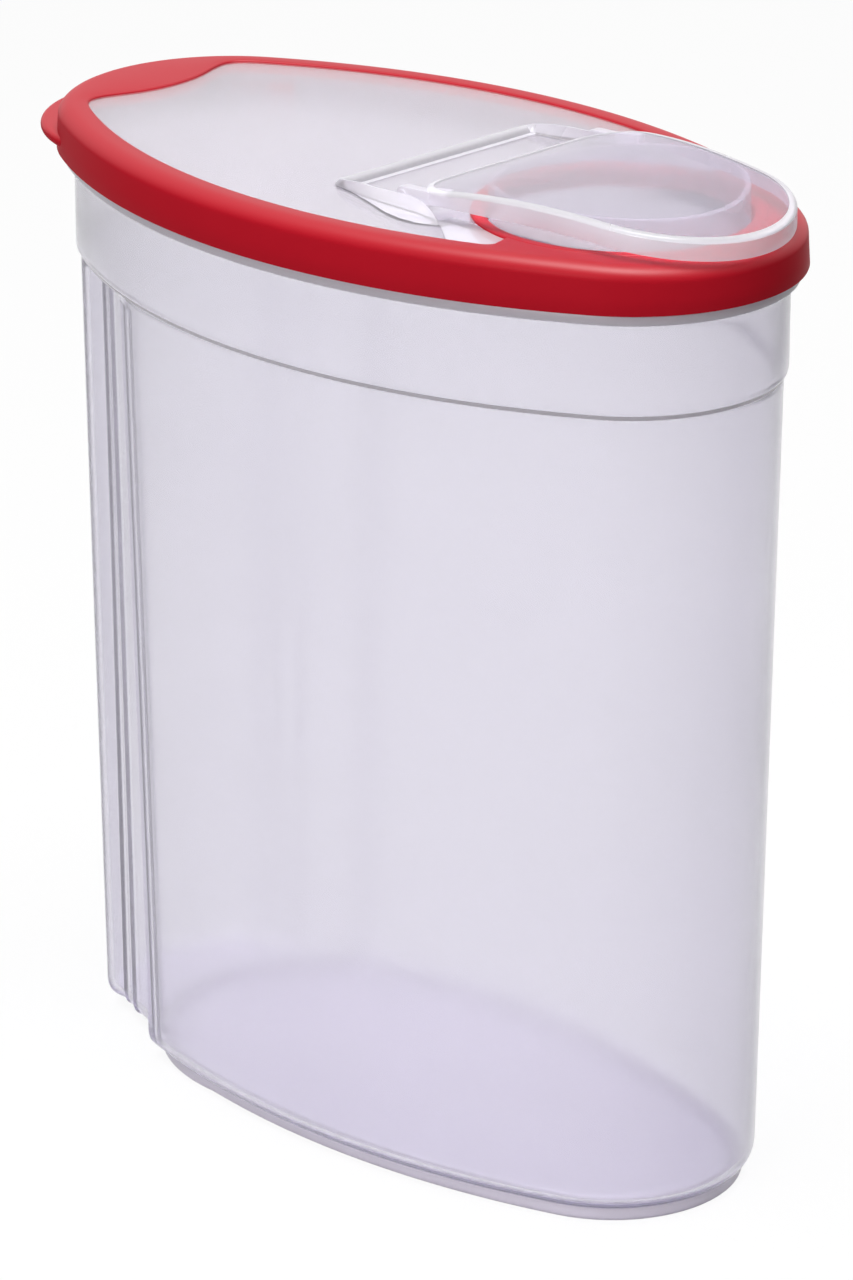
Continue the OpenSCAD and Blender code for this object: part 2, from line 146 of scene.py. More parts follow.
class Shells:
    """Collects grids of points, in millimetres, into one mesh object in the frame."""

    def __init__(self):
        self.points = []
        self.faces = []
        self.skins = []
        self.count = 0

    def grid(self, points, wrap_rows=False, wrap_columns=False, skins=0):
        """skins is the material number of the faces from each point on, or one for them all."""
        rows, columns = points.shape[:2]
        quads = grid_faces(rows, columns, wrap_rows, wrap_columns)
        self.skins.append(np.broadcast_to(skins, (rows, columns)).reshape(-1)[quads[:, 0]])
        self.faces.append(quads + self.count)
        self.points.append(points.reshape(-1, 3))
        self.count += rows * columns

    def piece(self, name, body, materials, edge=32.0, weld=0.02):
        """One mesh object, welded and smooth up to an angle of edge, that rides on its body."""
        points = np.concatenate(self.points) + np.array([MIDDLE, 0.0, 0.0])
        mesh = bpy.data.meshes.new(name)
        mesh.from_pydata((points * MM).tolist(), [], np.concatenate(self.faces).tolist())
        for material in materials:
            mesh.materials.append(material)
        mesh.polygons.foreach_set("material_index", np.concatenate(self.skins).astype(np.int32))
        made = bpy.data.objects.new(name, mesh)
        bpy.context.scene.collection.objects.link(made)
        weld_mesh(mesh, weld * MM)
        mesh.shade_smooth()
        mesh.set_sharp_from_angle(angle=math.radians(edge))
        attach(made, body)
        return made


# Edges shorter than this share of the welding distance are taken out
SLIVER = 0.1


def weld_mesh(mesh, distance):
    """Merges points that lie together and turns the faces outwards."""
    work = bmesh.new()
    work.from_mesh(mesh)
    bmesh.ops.remove_doubles(work, verts=work.verts, dist=distance)
    bmesh.ops.dissolve_degenerate(work, edges=work.edges, dist=distance * SLIVER)
    bmesh.ops.recalc_face_normals(work, faces=work.faces)
    work.to_mesh(mesh)
    work.free()


def lift(outline, z):
    """An outline at height z, or at one height for each of its points."""
    return np.column_stack([outline, np.broadcast_to(z, len(outline))])


def way_to_tip(x):
    """0 up to the middle of the pour opening, and 1 at the rim's tip."""
    return np.clip((x - POUR_X) / (RIM_A - POUR_X), 0.0, 1.0)


# Shared effects

def node_group(name, inputs, outputs):
    """A shader node group with named inputs and outputs, and its two end nodes."""
    group = bpy.data.node_groups.new(name, "ShaderNodeTree")
    for label, kind, value in inputs:
        socket = group.interface.new_socket(name=label, in_out="INPUT", socket_type=kind)
        socket.default_value = value
    for label, kind in outputs:
        group.interface.new_socket(name=label, in_out="OUTPUT", socket_type=kind)
    return group, group.nodes.new("NodeGroupInput"), group.nodes.new("NodeGroupOutput")


def moulded_surface():
    """Fine grain of a moulded skin as height, and slow unevenness as a 0 to 1 mask."""
    group, start, end = node_group(
        "moulded_surface",
        [("Grain Scale", "NodeSocketFloat", 1800.0), ("Flow Scale", "NodeSocketFloat", 14.0)],
        [("Grain", "NodeSocketFloat"), ("Flow", "NodeSocketFloat")])
    nodes, links = group.nodes, group.links
    place = nodes.new("ShaderNodeTexCoord")
    grain = nodes.new("ShaderNodeTexNoise")
    grain.inputs["Detail"].default_value = 2.0
    flow = nodes.new("ShaderNodeTexNoise")
    flow.inputs["Detail"].default_value = 3.0
    links.new(place.outputs["Object"], grain.inputs["Vector"])
    links.new(place.outputs["Object"], flow.inputs["Vector"])
    links.new(start.outputs["Grain Scale"], grain.inputs["Scale"])
    links.new(start.outputs["Flow Scale"], flow.inputs["Scale"])
    links.new(grain.outputs["Fac"], end.inputs["Grain"])
    links.new(flow.outputs["Fac"], end.inputs["Flow"])
    return group


MOULDED = moulded_surface()


def new_material(name):
    """A material with its nodes, its links, its shader and its output."""
    material = bpy.data.materials.new(name)
    material.use_nodes = True
    tree = material.node_tree
    shader = tree.nodes["Principled BSDF"]
    return material, tree.nodes, tree.links, shader, tree.nodes["Material Output"]


def mapped(nodes, links, value, low, high):
    """A range from low to high over the middle of a noise's values."""
    change = nodes.new("ShaderNodeMapRange")
    change.inputs["To Min"].default_value = low
    change.inputs["To Max"].default_value = high
    change.inputs["From Min"].default_value = 0.3
    change.inputs["From Max"].default_value = 0.7
    links.new(value, change.inputs["Value"])
    return change.outputs["Result"]


def moulded_red():
    """Satin red plastic: a fine moulded grain, slightly uneven gloss and colour, and a painted
    shine:
    more specular on level faces than on upright ones, set by which way each face points."""
    material, nodes, links, shader, _ = new_material("satin_red_plastic")
    skin = nodes.new("ShaderNodeGroup")
    skin.node_tree = MOULDED
    tint = nodes.new("ShaderNodeMix")
    tint.data_type = "RGBA"
    tint.inputs["A"].default_value = (0.40, 0.006, 0.016, 1.0)
    tint.inputs["B"].default_value = (0.46, 0.010, 0.021, 1.0)
    links.new(skin.outputs["Flow"], tint.inputs["Factor"])
    links.new(tint.outputs["Result"], shader.inputs["Base Color"])
    links.new(mapped(nodes, links, skin.outputs["Flow"], 0.40, 0.48), shader.inputs["Roughness"])
    # Painted shine: the specular level rises with the face's upward normal, so level faces look lit
    # from above and upright faces look shaded
    face = nodes.new("ShaderNodeNewGeometry")
    split = nodes.new("ShaderNodeSeparateXYZ")
    links.new(face.outputs["Normal"], split.inputs["Vector"])
    painted_facing_shine = nodes.new("ShaderNodeMapRange")
    painted_facing_shine.interpolation_type = "SMOOTHSTEP"
    painted_facing_shine.inputs["From Min"].default_value = 0.15
    painted_facing_shine.inputs["From Max"].default_value = 0.85
    painted_facing_shine.inputs["To Min"].default_value = 0.015
    painted_facing_shine.inputs["To Max"].default_value = 0.4
    links.new(split.outputs["Z"], painted_facing_shine.inputs["Value"])
    links.new(painted_facing_shine.outputs["Result"], shader.inputs["Specular IOR Level"])
    bump = nodes.new("ShaderNodeBump")
    bump.inputs["Strength"].default_value = 0.25
    bump.inputs["Distance"].default_value = 0.00003
    links.new(skin.outputs["Grain"], bump.inputs["Height"])
    links.new(bump.outputs["Normal"], shader.inputs["Normal"])
    return material


def clear_plastic(name, tint, rough, clear, depth_tint, density, thin=0.0):
    """Clear moulded plastic with a faint haze: mostly transmission, a roughness that wanders
    between two values, a body colour that deepens where the plastic is seen edge on, and a shader
    that lets the lamps' rays reach the far walls. clear is the share of transmission, and thin the
    share that is seen straight through milky parts."""
    material, nodes, links, shader, output = new_material(name)
    skin = nodes.new("ShaderNodeGroup")
    skin.node_tree = MOULDED
    skin.inputs["Grain Scale"].default_value = 240.0
    skin.inputs["Flow Scale"].default_value = 9.0
    shader.inputs["Base Color"].default_value = (*tint, 1.0)
    shader.inputs["IOR"].default_value = 1.46
    shader.inputs["Transmission Weight"].default_value = clear
    links.new(mapped(nodes, links, skin.outputs["Flow"], *rough), shader.inputs["Roughness"])
    bump = nodes.new("ShaderNodeBump")
    bump.inputs["Strength"].default_value = 0.15
    bump.inputs["Distance"].default_value = 0.0004
    links.new(skin.outputs["Flow"], bump.inputs["Height"])
    links.new(bump.outputs["Normal"], shader.inputs["Normal"])
    through = nodes.new("ShaderNodeBsdfTransparent")
    through.inputs["Color"].default_value = (0.9, 0.9, 0.92, 1.0)
    path = nodes.new("ShaderNodeLightPath")
    choose = nodes.new("ShaderNodeMixShader")
    most = nodes.new("ShaderNodeMath")
    most.operation = "MAXIMUM"
    most.inputs[1].default_value = thin
    links.new(path.outputs["Is Shadow Ray"], most.inputs[0])
    links.new(most.outputs[0], choose.inputs["Fac"])
    links.new(shader.outputs["BSDF"], choose.inputs[1])
    links.new(through.outputs["BSDF"], choose.inputs[2])
    links.new(choose.outputs["Shader"], output.inputs["Surface"])
    absorb = nodes.new("ShaderNodeVolumeAbsorption")
    absorb.inputs["Color"].default_value = (*depth_tint, 1.0)
    absorb.inputs["Density"].default_value = density
    links.new(absorb.outputs["Volume"], output.inputs["Volume"])
    return material


RED = moulded_red()
CLEAR_TUB = clear_plastic(
    "clear_tub_plastic", tint=(0.91, 0.90, 0.93), rough=(0.10, 0.20), clear=0.86,
    depth_tint=(0.70, 0.68, 0.77), density=110.0)
MILKY_TUB = clear_plastic(
    "tub_edge_plastic", tint=(0.80, 0.75, 0.83), rough=(0.30, 0.40), clear=0.48,
    depth_tint=(0.66, 0.64, 0.78), density=150.0)
CLEAR_LID = clear_plastic(
    "clear_lid_plastic", tint=(0.84, 0.81, 0.845), rough=(0.12, 0.22), clear=0.82,
    depth_tint=(0.70, 0.68, 0.76), density=110.0)
MILKY_LID = clear_plastic(
    "lid_edge_plastic", tint=(0.95, 0.92, 0.97), rough=(0.24, 0.32), clear=0.15,
    depth_tint=(0.84, 0.82, 0.90), density=40.0, thin=0.5)
# Painted highlight: a paler, more diffuse plastic on the cap's rounded upper edge and the lid's
# ridge, in place of the light those edges catch
PAINTED_HIGHLIGHT_PLASTIC = clear_plastic(
    "painted_highlight_plastic", tint=(0.91, 0.89, 0.94), rough=(0.20, 0.30), clear=0.42,
    depth_tint=(0.84, 0.82, 0.90), density=40.0)
PLUG_WALL = clear_plastic(
    "plug_wall_plastic", tint=(0.92, 0.89, 0.93), rough=(0.20, 0.28), clear=0.15,
    depth_tint=(0.84, 0.82, 0.90), density=40.0, thin=0.74)
CLEAR_CAP = clear_plastic(
    "clear_cap_plastic", tint=(0.73, 0.69, 0.755), rough=(0.03, 0.07), clear=0.92,
    depth_tint=(0.66, 0.64, 0.78), density=90.0)

# Each piece's materials, and their numbers on its faces
TUB_SKINS = [CLEAR_TUB, MILKY_TUB]
LID_SKINS = [CLEAR_LID, MILKY_LID, PAINTED_HIGHLIGHT_PLASTIC]
CAP_SKINS = [CLEAR_CAP, MILKY_LID, PAINTED_HIGHLIGHT_PLASTIC, PLUG_WALL]
CLEAR = 0
MILKY = 1
# Number of the painted highlight skin on rounded edges and the ridge
PAINTED_HIGHLIGHT = 2
PLUG = 3


# The tub

GRIP_FRONT = 68.0
GRIP_REAR = 104.0
GRIP_DEPTH = 5.5
GRIP_STEP = 2.2
GRIP_BLEND = 10.0
GRIP_RIBS = (86.5, 93.5)
RIB_H = 0.8
RIB_HALF = 1.2
# The places near the front tip are spaced by angle, up to this many degrees
END_TURN = 36.0


def grip_depth(x, front, ribs):
    """Depth of the finger grip at x: a steep edge at its front, a slow blend at its rear, less its
    ribs, which are half waves of a cosine."""
    depth = GRIP_DEPTH * smooth((-x - front) / GRIP_STEP) * smooth((GRIP_REAR + x) / GRIP_BLEND)
    for rib in GRIP_RIBS:
        wave = np.clip(np.cos((x + rib) / RIB_HALF * math.pi / 2.0), 0.0, 1.0)
        depth = depth - ribs * RIB_H * wave * (np.abs(x + rib) < RIB_HALF)
    return depth


def tub_places(a):
    """Places along half an outline: both ends by angle, the side by even steps, and the grip
    finely."""
    front = a * np.cos(np.radians(np.linspace(0.0, END_TURN, 30)))
    side = np.linspace(front[-1] - 3.0, 4.0 - GRIP_FRONT, 46)
    edge = -GRIP_FRONT - np.linspace(-0.6, GRIP_STEP + 0.6, 13)
    ribs = np.linspace(-GRIP_FRONT - GRIP_STEP - 2.5, -GRIP_REAR + GRIP_BLEND - 2.0, 46)
    tail = np.linspace(ribs[-1] - 1.0, -GRIP_REAR, 12)
    rear = -a * np.cos(math.acos(GRIP_REAR / a) * (1.0 - np.linspace(0.0, 1.0, 22)[1:]))
    return np.concatenate([front, side, edge, ribs, tail, rear])


def mirrored(half):
    """A closed ring from its half on one side of the middle."""
    return np.concatenate([half, half[-2:0:-1] * np.array([1.0, -1.0, 1.0])])


def tub_ring(z, a, b, r, grip, inner=0.0):
    """One closed ring of the tub: the oval less the grip, mirrored to the other side."""
    x = tub_places(a)
    y = oval_y(a, b, r, x)
    y = y - grip * grip_depth(x, GRIP_FRONT - inner * WALL, 1.0 - inner)
    y[0] = 0.0
    y[-1] = 0.0
    return mirrored(np.stack([x, y, np.full(len(x), z)], 1))


def wall_sizes(z):
    """Half sizes and end radius of the drafted wall at height z."""
    t = (z - FOOT_H - BASE_ROUND) / (COLLAR_LOW - FOOT_H - BASE_ROUND)
    low = np.array([BASE_A, BASE_B, BASE_END_R])
    high = np.array([RIM_A, RIM_B, RIM_END_R]) - COLLAR_INSET
    return low + (high - low) * t


def wall_ring(z, grip=1.0, inner=0.0):
    """A ring of the drafted wall, with its grips; inner is 1 for the wall's inner side."""
    a, b, r = wall_sizes(z) - inner * WALL
    return tub_ring(z, a, b, r, grip, inner)


def upper_ring(z, inset):
    """A ring of the upright collar and mouth, drawn in from the rim's outline."""
    return tub_ring(z, RIM_A - inset, RIM_B - inset, RIM_END_R - inset, 0.0)


# How far the rounded lower edge draws in, as a share of its height
BASE_DRAW = 0.6


def edge_ring(angle, inner=0.0):
    """A ring of the rounded lower edge, at an angle up from the bottom."""
    round_r = BASE_ROUND - inner * WALL
    inset = inner * WALL + round_r * (1.0 - math.sin(angle)) * BASE_DRAW
    z = FOOT_H + inner * WALL + round_r * (1.0 - math.cos(angle))
    return tub_ring(z, BASE_A - inset, BASE_B - inset, BASE_END_R - inset, 1.0, inner)


FOOT_TURN = 40.0
FOOT_REAR = 91.0
FOOT_INSET = 3.4
# How much further in the foot lies along its sides
FOOT_SIDE = 1.0
FOOT_T = 2.6
FOOT_IN_R = 0.5
FOOT_OUT_R = 0.7


def foot_ring(z, inset):
    """A ring of the foot: the base's outline at the front, and a half ellipse that closes it
    between the grips."""
    x = tub_places(BASE_A)
    a = BASE_A - FOOT_INSET - inset
    b = BASE_B - FOOT_INSET - FOOT_SIDE - inset
    r = BASE_END_R - FOOT_INSET - inset
    share = np.clip((-x - FOOT_TURN) / (BASE_A - FOOT_TURN), 0.0, 1.0)
    turn = np.arcsin(share)
    place = np.where(x > -FOOT_TURN, x * a / BASE_A, 0.0)
    front_y = oval_y(a, b, r, place)
    level = oval_y(a, b, r, np.array(FOOT_TURN * a / BASE_A))
    rear_x = -FOOT_TURN * a / BASE_A - (FOOT_REAR - FOOT_TURN - inset) * np.sin(turn)
    ring_x = np.where(x > -FOOT_TURN, place, rear_x)
    ring_y = np.where(x > -FOOT_TURN, front_y, level * np.cos(turn))
    ring_y[0] = 0.0
    ring_y[-1] = 0.0
    return mirrored(np.stack([ring_x, ring_y, np.full(len(x), z)], 1))


def shrunk(ring, share):
    """A ring drawn in towards the middle, at its own height."""
    return ring * np.array([share, share, 1.0])


def foot_rings():
    """From the middle of the bottom out over the foot, with its edges rounded."""
    rings = [shrunk(foot_ring(FOOT_H, FOOT_T), share) for share in (0.0, 0.25, 0.5, 0.75, 0.93)]
    rings += [foot_ring(FOOT_H, FOOT_T + 0.3), foot_ring(FOOT_H - 0.3, FOOT_T)]
    rings += [foot_ring(FOOT_IN_R * (1 - math.sin(u)), FOOT_T - FOOT_IN_R * (1 - math.cos(u)))
              for u in (0.0, 0.6, 1.2)]
    rings += [foot_ring(0.0, FOOT_T - 0.9), foot_ring(0.0, FOOT_OUT_R)]
    rings += [foot_ring(FOOT_OUT_R * (1 - math.cos(u)), FOOT_OUT_R * (1 - math.sin(u)))
              for u in (0.5, 1.0, 1.4)]
    return rings + [foot_ring(FOOT_H - 0.4, 0.0), foot_ring(FOOT_H, -0.3)]


def wall_rings():
    """Up the rounded lower edge and the drafted wall, to where the grips run out."""
    rings = [edge_ring(math.radians(u)) for u in (0, 12, 24, 36, 48, 60, 72, 82)]
    rings += [wall_ring(z) for z in np.linspace(FOOT_H + BASE_ROUND, COLLAR_LOW - 3.0, 14)]
    rings += [wall_ring(COLLAR_LOW - 2.0 + 1.6 * t, 1.0 - smooth(t))
              for t in (0.0, 0.2, 0.4, 0.6, 0.8, 1.0)]
    return rings + [wall_ring(COLLAR_LOW, 0.0)]


# The collar above its lower edge: height, and how far inside its upright side
COLLAR_STEP = ((0.9, 0.75), (1.5, 0.3), (2.1, 0.08), (2.9, 0.0), (12.0, 0.0), (24.0, 0.0))
BEAD_R = 1.2
LIP_R = 0.9


def collar_rings():
    """Out over the collar's lower edge, up its side and round the flange."""
    rings = [upper_ring(COLLAR_LOW + 0.25, COLLAR_INSET - 0.25)]
    rings += [upper_ring(COLLAR_LOW + z, MOUTH_INSET + out) for z, out in COLLAR_STEP]
    flange = (
        (FLANGE_LOW - 0.5, MOUTH_INSET), (FLANGE_LOW - 0.1, MOUTH_INSET - 0.15),
        (FLANGE_LOW, MOUTH_INSET - 0.6), (FLANGE_LOW, FLANGE_INSET + 0.5),
        (FLANGE_LOW + 0.15, FLANGE_INSET + 0.15), (FLANGE_LOW + 0.5, FLANGE_INSET),
        (FLANGE_TOP - 0.5, FLANGE_INSET), (FLANGE_TOP - 0.15, FLANGE_INSET + 0.15),
        (FLANGE_TOP, FLANGE_INSET + 0.5), (FLANGE_TOP, MOUTH_INSET - 0.4),
        (FLANGE_TOP + 0.4, MOUTH_INSET))
    return rings + [upper_ring(z, inset) for z, inset in flange]


def mouth_rings():
    """Round the bead that the lid grips, and over the mouth's lip."""
    bead = (FLANGE_TOP + TUB_H) / 2
    rings = [upper_ring(bead - BEAD_R * math.cos(u), MOUTH_INSET - BEAD_R * math.sin(u))
             for u in np.linspace(0.0, math.pi, 9)]
    rings += [upper_ring(TUB_H - LIP_R * (1 - math.sin(u)), MOUTH_INSET + LIP_R * (1 - math.cos(u)))
              for u in np.linspace(0.0, math.pi / 2, 5)]
    return rings


def inner_rings():
    """Down the inside of the mouth and the wall to the middle of the floor."""
    inset = MOUTH_INSET + WALL
    rings = [upper_ring(TUB_H - 0.3, inset), upper_ring(COLLAR_LOW + 2.9, inset)]
    rings += [upper_ring(COLLAR_LOW + 1.6, inset + 0.2), upper_ring(COLLAR_LOW + 0.6, inset + 0.7)]
    rings += [wall_ring(COLLAR_LOW - 1.0, 0.0, 1.0)]
    rings += [wall_ring(COLLAR_LOW - 4.0 + 1.8 * t, 1.0 - smooth(t), 1.0)
              for t in (1.0, 0.66, 0.33, 0.0)]
    rings += [wall_ring(z, 1.0, 1.0)
              for z in np.linspace(COLLAR_LOW - 6.0, FOOT_H + BASE_ROUND, 10)]
    rings += [edge_ring(math.radians(u), 1.0) for u in (78, 60, 42, 24, 8, 0)]
    return rings + [shrunk(edge_ring(0.0, 1.0), share) for share in (0.85, 0.6, 0.35, 0.0)]


def tub():
    """The tub is one closed skin of rings, from the middle of its bottom over the mouth to the
    middle of its floor. Its foot, its collar's lower edge and its flange look milky."""
    rings = np.stack(foot_rings() + wall_rings() + collar_rings() + mouth_rings() + inner_rings())
    level = rings[:, 0, 2]
    outside = np.arange(len(rings)) < np.argmax(level)
    foot = level < FOOT_H + 0.1
    collar_edge = (level > COLLAR_LOW - 0.1) & (level < COLLAR_LOW + 1.4)
    flange = (level > FLANGE_LOW - 0.2) & (level < FLANGE_TOP - 0.1)
    skins = np.where(outside & (foot | collar_edge | flange), MILKY, CLEAR)
    shells = Shells()
    shells.grid(rings, wrap_columns=True, skins=skins[:, None])
    made = shells.piece("tub_skin", "tub", TUB_SKINS, edge=50.0)
    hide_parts("container")
    return made


# The red rim

RIM_SKIRT = 2.2
RIM_LEAN = 0.5
SHOULDER_H = 4.3
SHOULDER_W = 5.0
CARRIER_TOP = 278.5
CROWN_LOW = CARRIER_TOP - 2.0
CROWN_FALL = 2.0
# The crown's rounded inner edge: distance back from it, and drop below the crown
CROWN_EDGE = ((0.9, 0.0), (0.45, 0.1), (0.12, 0.38), (0.0, 0.8))
PRESS_REACH = 27.0
PRESS_R = 48.0
# The press area's arc counts behind this place only
PRESS_FRONT = -60.0
LOBE_BLEND = 4.0
POCKET_END_R = 3.7
POCKET_END_X = 72.7
POCKET_TURN = 0.8
# The crown stops this far outside the pour opening, under the ring's rounded lip
CROWN_GAP = 1.2
RING_W = 4.5
RING_H = 5.0
RING_IN_R = 2.2
RING_OUT_R = 0.8
RING_PROUD = 0.15


def dip(points):
    """Lowers the rim's upper parts in front of the pour opening, by the square of the way to the
    tip."""
    t = way_to_tip(points[..., 0])
    share = 1.0 - CROWN_FALL * t * t / (CROWN_TOP - RIM_LOW)
    lowered = points.copy()
    lowered[..., 2] = RIM_LOW + (points[..., 2] - RIM_LOW) * share
    return lowered


def circle_hit(origin, direction, centre_x, radius, far):
    """Distance along each ray to a circle on the X axis, its near side or its far side, or inf."""
    x = origin[:, 0] - centre_x
    ahead = x * direction[:, 0] + origin[:, 1] * direction[:, 1]
    rest = ahead ** 2 - (x ** 2 + origin[:, 1] ** 2 - radius ** 2)
    root = np.sqrt(np.maximum(rest, 0.0))
    hit = np.where(far, -ahead + root, -ahead - root)
    return np.where(rest > 0.0, hit, np.inf)


def spread(values, points, width):
    """Each value becomes the mean of its neighbours round the loop, weighted by a bell of that
    width."""
    steps = np.hypot(*(points - np.roll(points, 1, 0)).T)
    place = np.cumsum(steps)
    apart = np.abs(place[:, None] - place[None, :])
    apart = np.minimum(apart, place[-1] - apart)
    weight = np.exp(-0.5 * (apart / width) ** 2) * steps[None, :]
    return weight @ values / weight.sum(1)


def crown_reach(outline, normal):
    """How far the crown reaches in at each point: the even width of the crown, the press area's arc
    at the rear, the round end of the clear pocket, and the edge of the pour opening in front."""
    inward = -normal
    lobe = circle_hit(outline, inward, PRESS_REACH - RIM_A - PRESS_R, PRESS_R, far=True)
    rear = (outline[:, 0] < PRESS_FRONT) & np.isfinite(lobe)
    reach = spread(np.where(rear, np.maximum(lobe, CROWN_W), CROWN_W), outline, LOBE_BLEND)
    pour = circle_hit(outline, inward, POUR_X, POUR_R + CROWN_GAP, far=False)
    pour = np.where(np.isfinite(pour), pour, CROWN_W)
    edge_x = outline[:, 0] - normal[:, 0] * CROWN_W
    into = np.clip(edge_x - POCKET_END_X + POCKET_END_R, 0.0, POCKET_END_R)
    bend = POCKET_END_R - np.sqrt(POCKET_END_R ** 2 - into ** 2)
    share = smooth((edge_x - POCKET_END_X) / POCKET_TURN)
    return reach + bend + share * np.maximum(pour - reach - bend, 0.0)


def rim_band(shells):
    """The rim is one profile carried round the oval: a skirt and a rolled shoulder at even insets,
    and the crown with its inner edge at the reach of each place."""
    outline, normal = oval_loop(RIM_A, RIM_B, RIM_END_R, 240, 260)
    reach = crown_reach(outline, normal)
    waist = (RIM_LOW + CROWN_TOP - SHOULDER_H) / 2
    steps = [(RIM_SKIRT, RIM_LOW + 0.5), (RIM_SKIRT - 0.5, RIM_LOW), (0.6, RIM_LOW),
             (0.15, RIM_LOW + 0.18), (0.0, RIM_LOW + 0.6), (RIM_LEAN * 0.5, waist)]
    steps += [(RIM_LEAN + SHOULDER_W * (1 - math.cos(v)),
               CROWN_TOP - SHOULDER_H * (1 - math.sin(v))) for v in np.linspace(0.0, math.pi / 2, 9)]
    rows = [lift(outline - normal * inset, z) for inset, z in steps]
    rows += [lift(outline - normal * (reach - back)[:, None], CROWN_TOP - drop)
             for back, drop in CROWN_EDGE]
    rows += [lift(outline - normal * reach[:, None], CROWN_LOW)]
    rows += [lift(outline - normal * RIM_SKIRT, CROWN_LOW)]
    shells.grid(dip(np.stack(rows)), wrap_rows=True, wrap_columns=True)


def pour_ring(shells):
    """A rounded lip turned round the pour opening, and its short wall going down."""
    turn = np.linspace(0.0, math.pi / 2, 7)
    top = CROWN_TOP + RING_PROUD
    profile = [(POUR_R, CROWN_TOP - RING_H), (POUR_R, CROWN_TOP - RING_IN_R)]
    profile += [(POUR_R + RING_IN_R * (1 - math.cos(v)), top - RING_IN_R * (1 - math.sin(v)))
                for v in turn]
    profile += [(POUR_R + RING_W - RING_OUT_R + RING_OUT_R * math.sin(v),
                 top - RING_OUT_R * (1 - math.cos(v))) for v in turn]
    profile += [(POUR_R + RING_W, CROWN_TOP - RING_H)]
    around = np.linspace(0.0, 2 * math.pi, 240, endpoint=False)
    circle = np.stack([np.cos(around), np.sin(around)], 1)
    points = np.stack([lift(np.array([POUR_X, 0.0]) + r * circle, z) for r, z in profile])
    t = way_to_tip(points[..., 0])
    points[..., 2] -= CROWN_FALL * t * t
    shells.grid(points, wrap_rows=True, wrap_columns=True)


TAB_R = 42.5
TAB_REACH = 9.7
TAB_X = TAB_R - TAB_REACH - RIM_A
TAB_LOW = 270.5
TAB_T = 3.0
TAB_TURN = 86.0
TAB_EDGE_R = 1.5
# How far in the tab's inner line lies, at the rear and at its sides
TAB_DEEP = 8.0
TAB_SIDE = 6.0
TAB_WIDTH = TAB_DEEP + TAB_SIDE


def thumb_tab(shells):
    """The tab is a plate with rounded edges between an inner line hidden in the rim's skirt and a
    circle that reaches past it."""
    angle = np.radians(np.linspace(180.0 - TAB_TURN, 180.0 + TAB_TURN, 121))
    outer = np.stack([TAB_X + TAB_R * np.cos(angle), TAB_R * np.sin(angle)], 1)
    inner = np.stack([TAB_X + TAB_DEEP + (TAB_R - TAB_DEEP) * np.cos(angle),
                      (TAB_R - TAB_SIDE) * np.sin(angle)], 1)
    rows = [lift(inner, TAB_LOW)]
    for v in np.linspace(-math.pi / 2, math.pi / 2, 11):
        inset = TAB_EDGE_R * (1.0 - math.cos(v))
        z = TAB_LOW + TAB_T / 2 + TAB_T / 2 * math.sin(v)
        rows.append(lift(outer + (inner - outer) * inset / TAB_WIDTH, z))
    rows.append(lift(inner, TAB_LOW + TAB_T))
    skin = np.stack(rows)
    ends = np.broadcast_to(skin.mean(0), skin.shape)
    shells.grid(np.concatenate([ends[:, :1], skin, ends[:, -1:]], 1), wrap_rows=True)


MARK_X = 111.5
MARK_Y = 19.0
MARK_R = 3.3
MARK_LINE = 0.35
MARK_FLAT = 0.7


def deck_mark(shells):
    """A small raised ring on the deck: a flattened circle turned round its middle."""
    around = np.linspace(0.0, 2 * math.pi, 48, endpoint=False)
    rows = []
    for turn in np.linspace(0.0, 2 * math.pi, 10, endpoint=False):
        r = MARK_R + MARK_LINE * math.cos(turn)
        x = MARK_X + r * np.cos(around)
        y = MARK_Y + r * np.sin(around)
        z = CROWN_TOP - CROWN_FALL * way_to_tip(x) ** 2 + MARK_LINE * MARK_FLAT * math.sin(turn)
        rows.append(np.stack([x, y, z], 1))
    shells.grid(np.stack(rows), wrap_rows=True, wrap_columns=True)


def rim():
    """The rim with its thumb tab and the ring round the pour opening, as one mesh."""
    shells = Shells()
    deck_mark(shells)
    rim_band(shells)
    pour_ring(shells)
    thumb_tab(shells)
    made = shells.piece("rim_skin", "lid", [RED], edge=40.0)
    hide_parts("lid_rim")
    return made


# The clear lid plate

WELL_X = 6.6
WELL_DEPTH = 4.0
WELL_RISE = 1.8
RISE_FROM = 16.0
RISE_LENGTH = 30.0
# Length of the well's rear end, and of the ends of the ridge
WELL_END = 1.4
RIDGE_END = 1.2
RIDGE_W = 3.4
RIDGE_H = 2.1
RIDGE_HALF = 37.0
# Half width of the well at places along it: between the cheeks, then out along the pocket's step
WELL_PLACES = ((4.0, 36.2), (9.0, 37.6), (20.0, 39.0), (38.0, 39.4), (44.0, 40.3), (47.0, 41.8),
               (52.8, 46.2), (59.7, 51.8), (80.0, 68.0))
# The hinge cheeks are leaf-shaped: half width at their outer edge, and height of their crest
LEAF_PLACES = ((4.0, 37.0), (12.5, 38.9), (21.7, 42.2), (31.5, 46.2), (38.2, 47.4), (44.0, 46.4),
               (48.5, 43.2))
CREST_PLACES = ((3.4, 0.0), (5.5, 2.4), (14.5, 3.6), (24.0, 3.9), (34.0, 4.4), (39.5, 3.8),
                (44.0, 1.7), (48.5, 0.0))
CREST_W = 0.5
LEAF_LEAST = 0.02
STEP_W = 0.8
POCKET_SLOPE = 1.8
SLOPE_FROM = 41.0
SLOPE_LENGTH = 9.0
POCKET_FROM = 46.0
# How far the plate runs on under the rim and under the pour ring
PLATE_UNDER = 1.5
PLUG_IN = 7.3
PLUG_T = 1.8
PLUG_LOW = 266.5
# A gap that keeps the plug skirt and the plug ring apart from the plates above them
PLATE_GAP = 0.02
# Width of the bell that rounds the bends between places
BELL = 0.9


